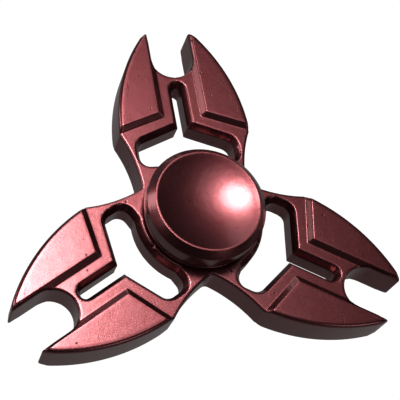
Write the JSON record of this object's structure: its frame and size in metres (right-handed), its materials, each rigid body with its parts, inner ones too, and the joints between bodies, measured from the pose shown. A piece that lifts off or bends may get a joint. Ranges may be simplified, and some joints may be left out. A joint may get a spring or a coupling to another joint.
{
  "type": "fidget spinner",
  "caption": "Metal fidget spinner with forked claw arms, a ball bearing in its hub and dished finger caps on both sides.",
  "frame": {"origin": "on the spin axis, halfway through the thickness of the claw plate", "axes": "+Z along the spin axis through the upper finger cap, +Y along one arm; the other two arms point 120 degrees to either side"},
  "size_m": [0.0654, 0.0571, 0.0162],
  "materials": {
    "plated_zinc": "semi-gloss burgundy metallic",
    "plated_cap": "semi-gloss burgundy metallic",
    "ring_steel": "ground",
    "ball_steel": "polished",
    "cage_steel": "pressed sheet",
    "shield_steel": "pressed sheet",
    "wire_steel": "drawn wire",
    "stud_steel": "turned"
  },
  "bodies": {
    "finger_hold": {"cap_top": "plated_cap", "cap_bottom": "plated_cap", "cap_stud": "stud_steel", "bearing_inner_ring": "ring_steel"},
    "spinner": {"claw_body": "plated_zinc", "bearing_outer_ring": "ring_steel", "shield_top": "shield_steel", "shield_bottom": "shield_steel", "snap_ring_top": "wire_steel", "snap_ring_bottom": "wire_steel"},
    "ball_cage": {"cage_upper": "cage_steel", "cage_lower": "cage_steel", "cage_rivets": "cage_steel"},
    "rolling_ball_1": {"ball_1": "ball_steel"},
    "rolling_ball_2": {"ball_2": "ball_steel"},
    "rolling_ball_3": {"ball_3": "ball_steel"},
    "rolling_ball_4": {"ball_4": "ball_steel"},
    "rolling_ball_5": {"ball_5": "ball_steel"},
    "rolling_ball_6": {"ball_6": "ball_steel"}
  },
  "joints": [
    {"name": "spin", "type": "hinge", "parent": "finger_hold", "child": "spinner", "pos_m": [0, 0, 0], "axis": [0, 0, 1], "continuous": true},
    {"name": "cage_turn", "type": "hinge", "parent": "finger_hold", "child": "ball_cage", "pos_m": [0, 0, 0], "axis": [0, 0, 1], "continuous": true},
    {"name": "ball_1_roll", "type": "hinge", "parent": "ball_cage", "child": "rolling_ball_1", "pos_m": [0.00575, 0, 0], "axis": [0, 0, 1], "continuous": true},
    {"name": "ball_2_roll", "type": "hinge", "parent": "ball_cage", "child": "rolling_ball_2", "pos_m": [0.00287, 0.00498, 0], "axis": [0, 0, 1], "continuous": true},
    {"name": "ball_3_roll", "type": "hinge", "parent": "ball_cage", "child": "rolling_ball_3", "pos_m": [-0.00287, 0.00498, 0], "axis": [0, 0, 1], "continuous": true},
    {"name": "ball_4_roll", "type": "hinge", "parent": "ball_cage", "child": "rolling_ball_4", "pos_m": [-0.00575, 0, 0], "axis": [0, 0, 1], "continuous": true},
    {"name": "ball_5_roll", "type": "hinge", "parent": "ball_cage", "child": "rolling_ball_5", "pos_m": [-0.00287, -0.00498, 0], "axis": [0, 0, 1], "continuous": true},
    {"name": "ball_6_roll", "type": "hinge", "parent": "ball_cage", "child": "rolling_ball_6", "pos_m": [0.00287, -0.00498, 0], "axis": [0, 0, 1], "continuous": true}
  ],
  "couplings": [
    {"joint": "cage_turn", "follows": "spin", "ratio": 0.65217},
    {"joint": "ball_1_roll", "follows": "spin", "ratio": 1.4907},
    {"joint": "ball_2_roll", "follows": "spin", "ratio": 1.4907},
    {"joint": "ball_3_roll", "follows": "spin", "ratio": 1.4907},
    {"joint": "ball_4_roll", "follows": "spin", "ratio": 1.4907},
    {"joint": "ball_5_roll", "follows": "spin", "ratio": 1.4907},
    {"joint": "ball_6_roll", "follows": "spin", "ratio": 1.4907}
  ]
}
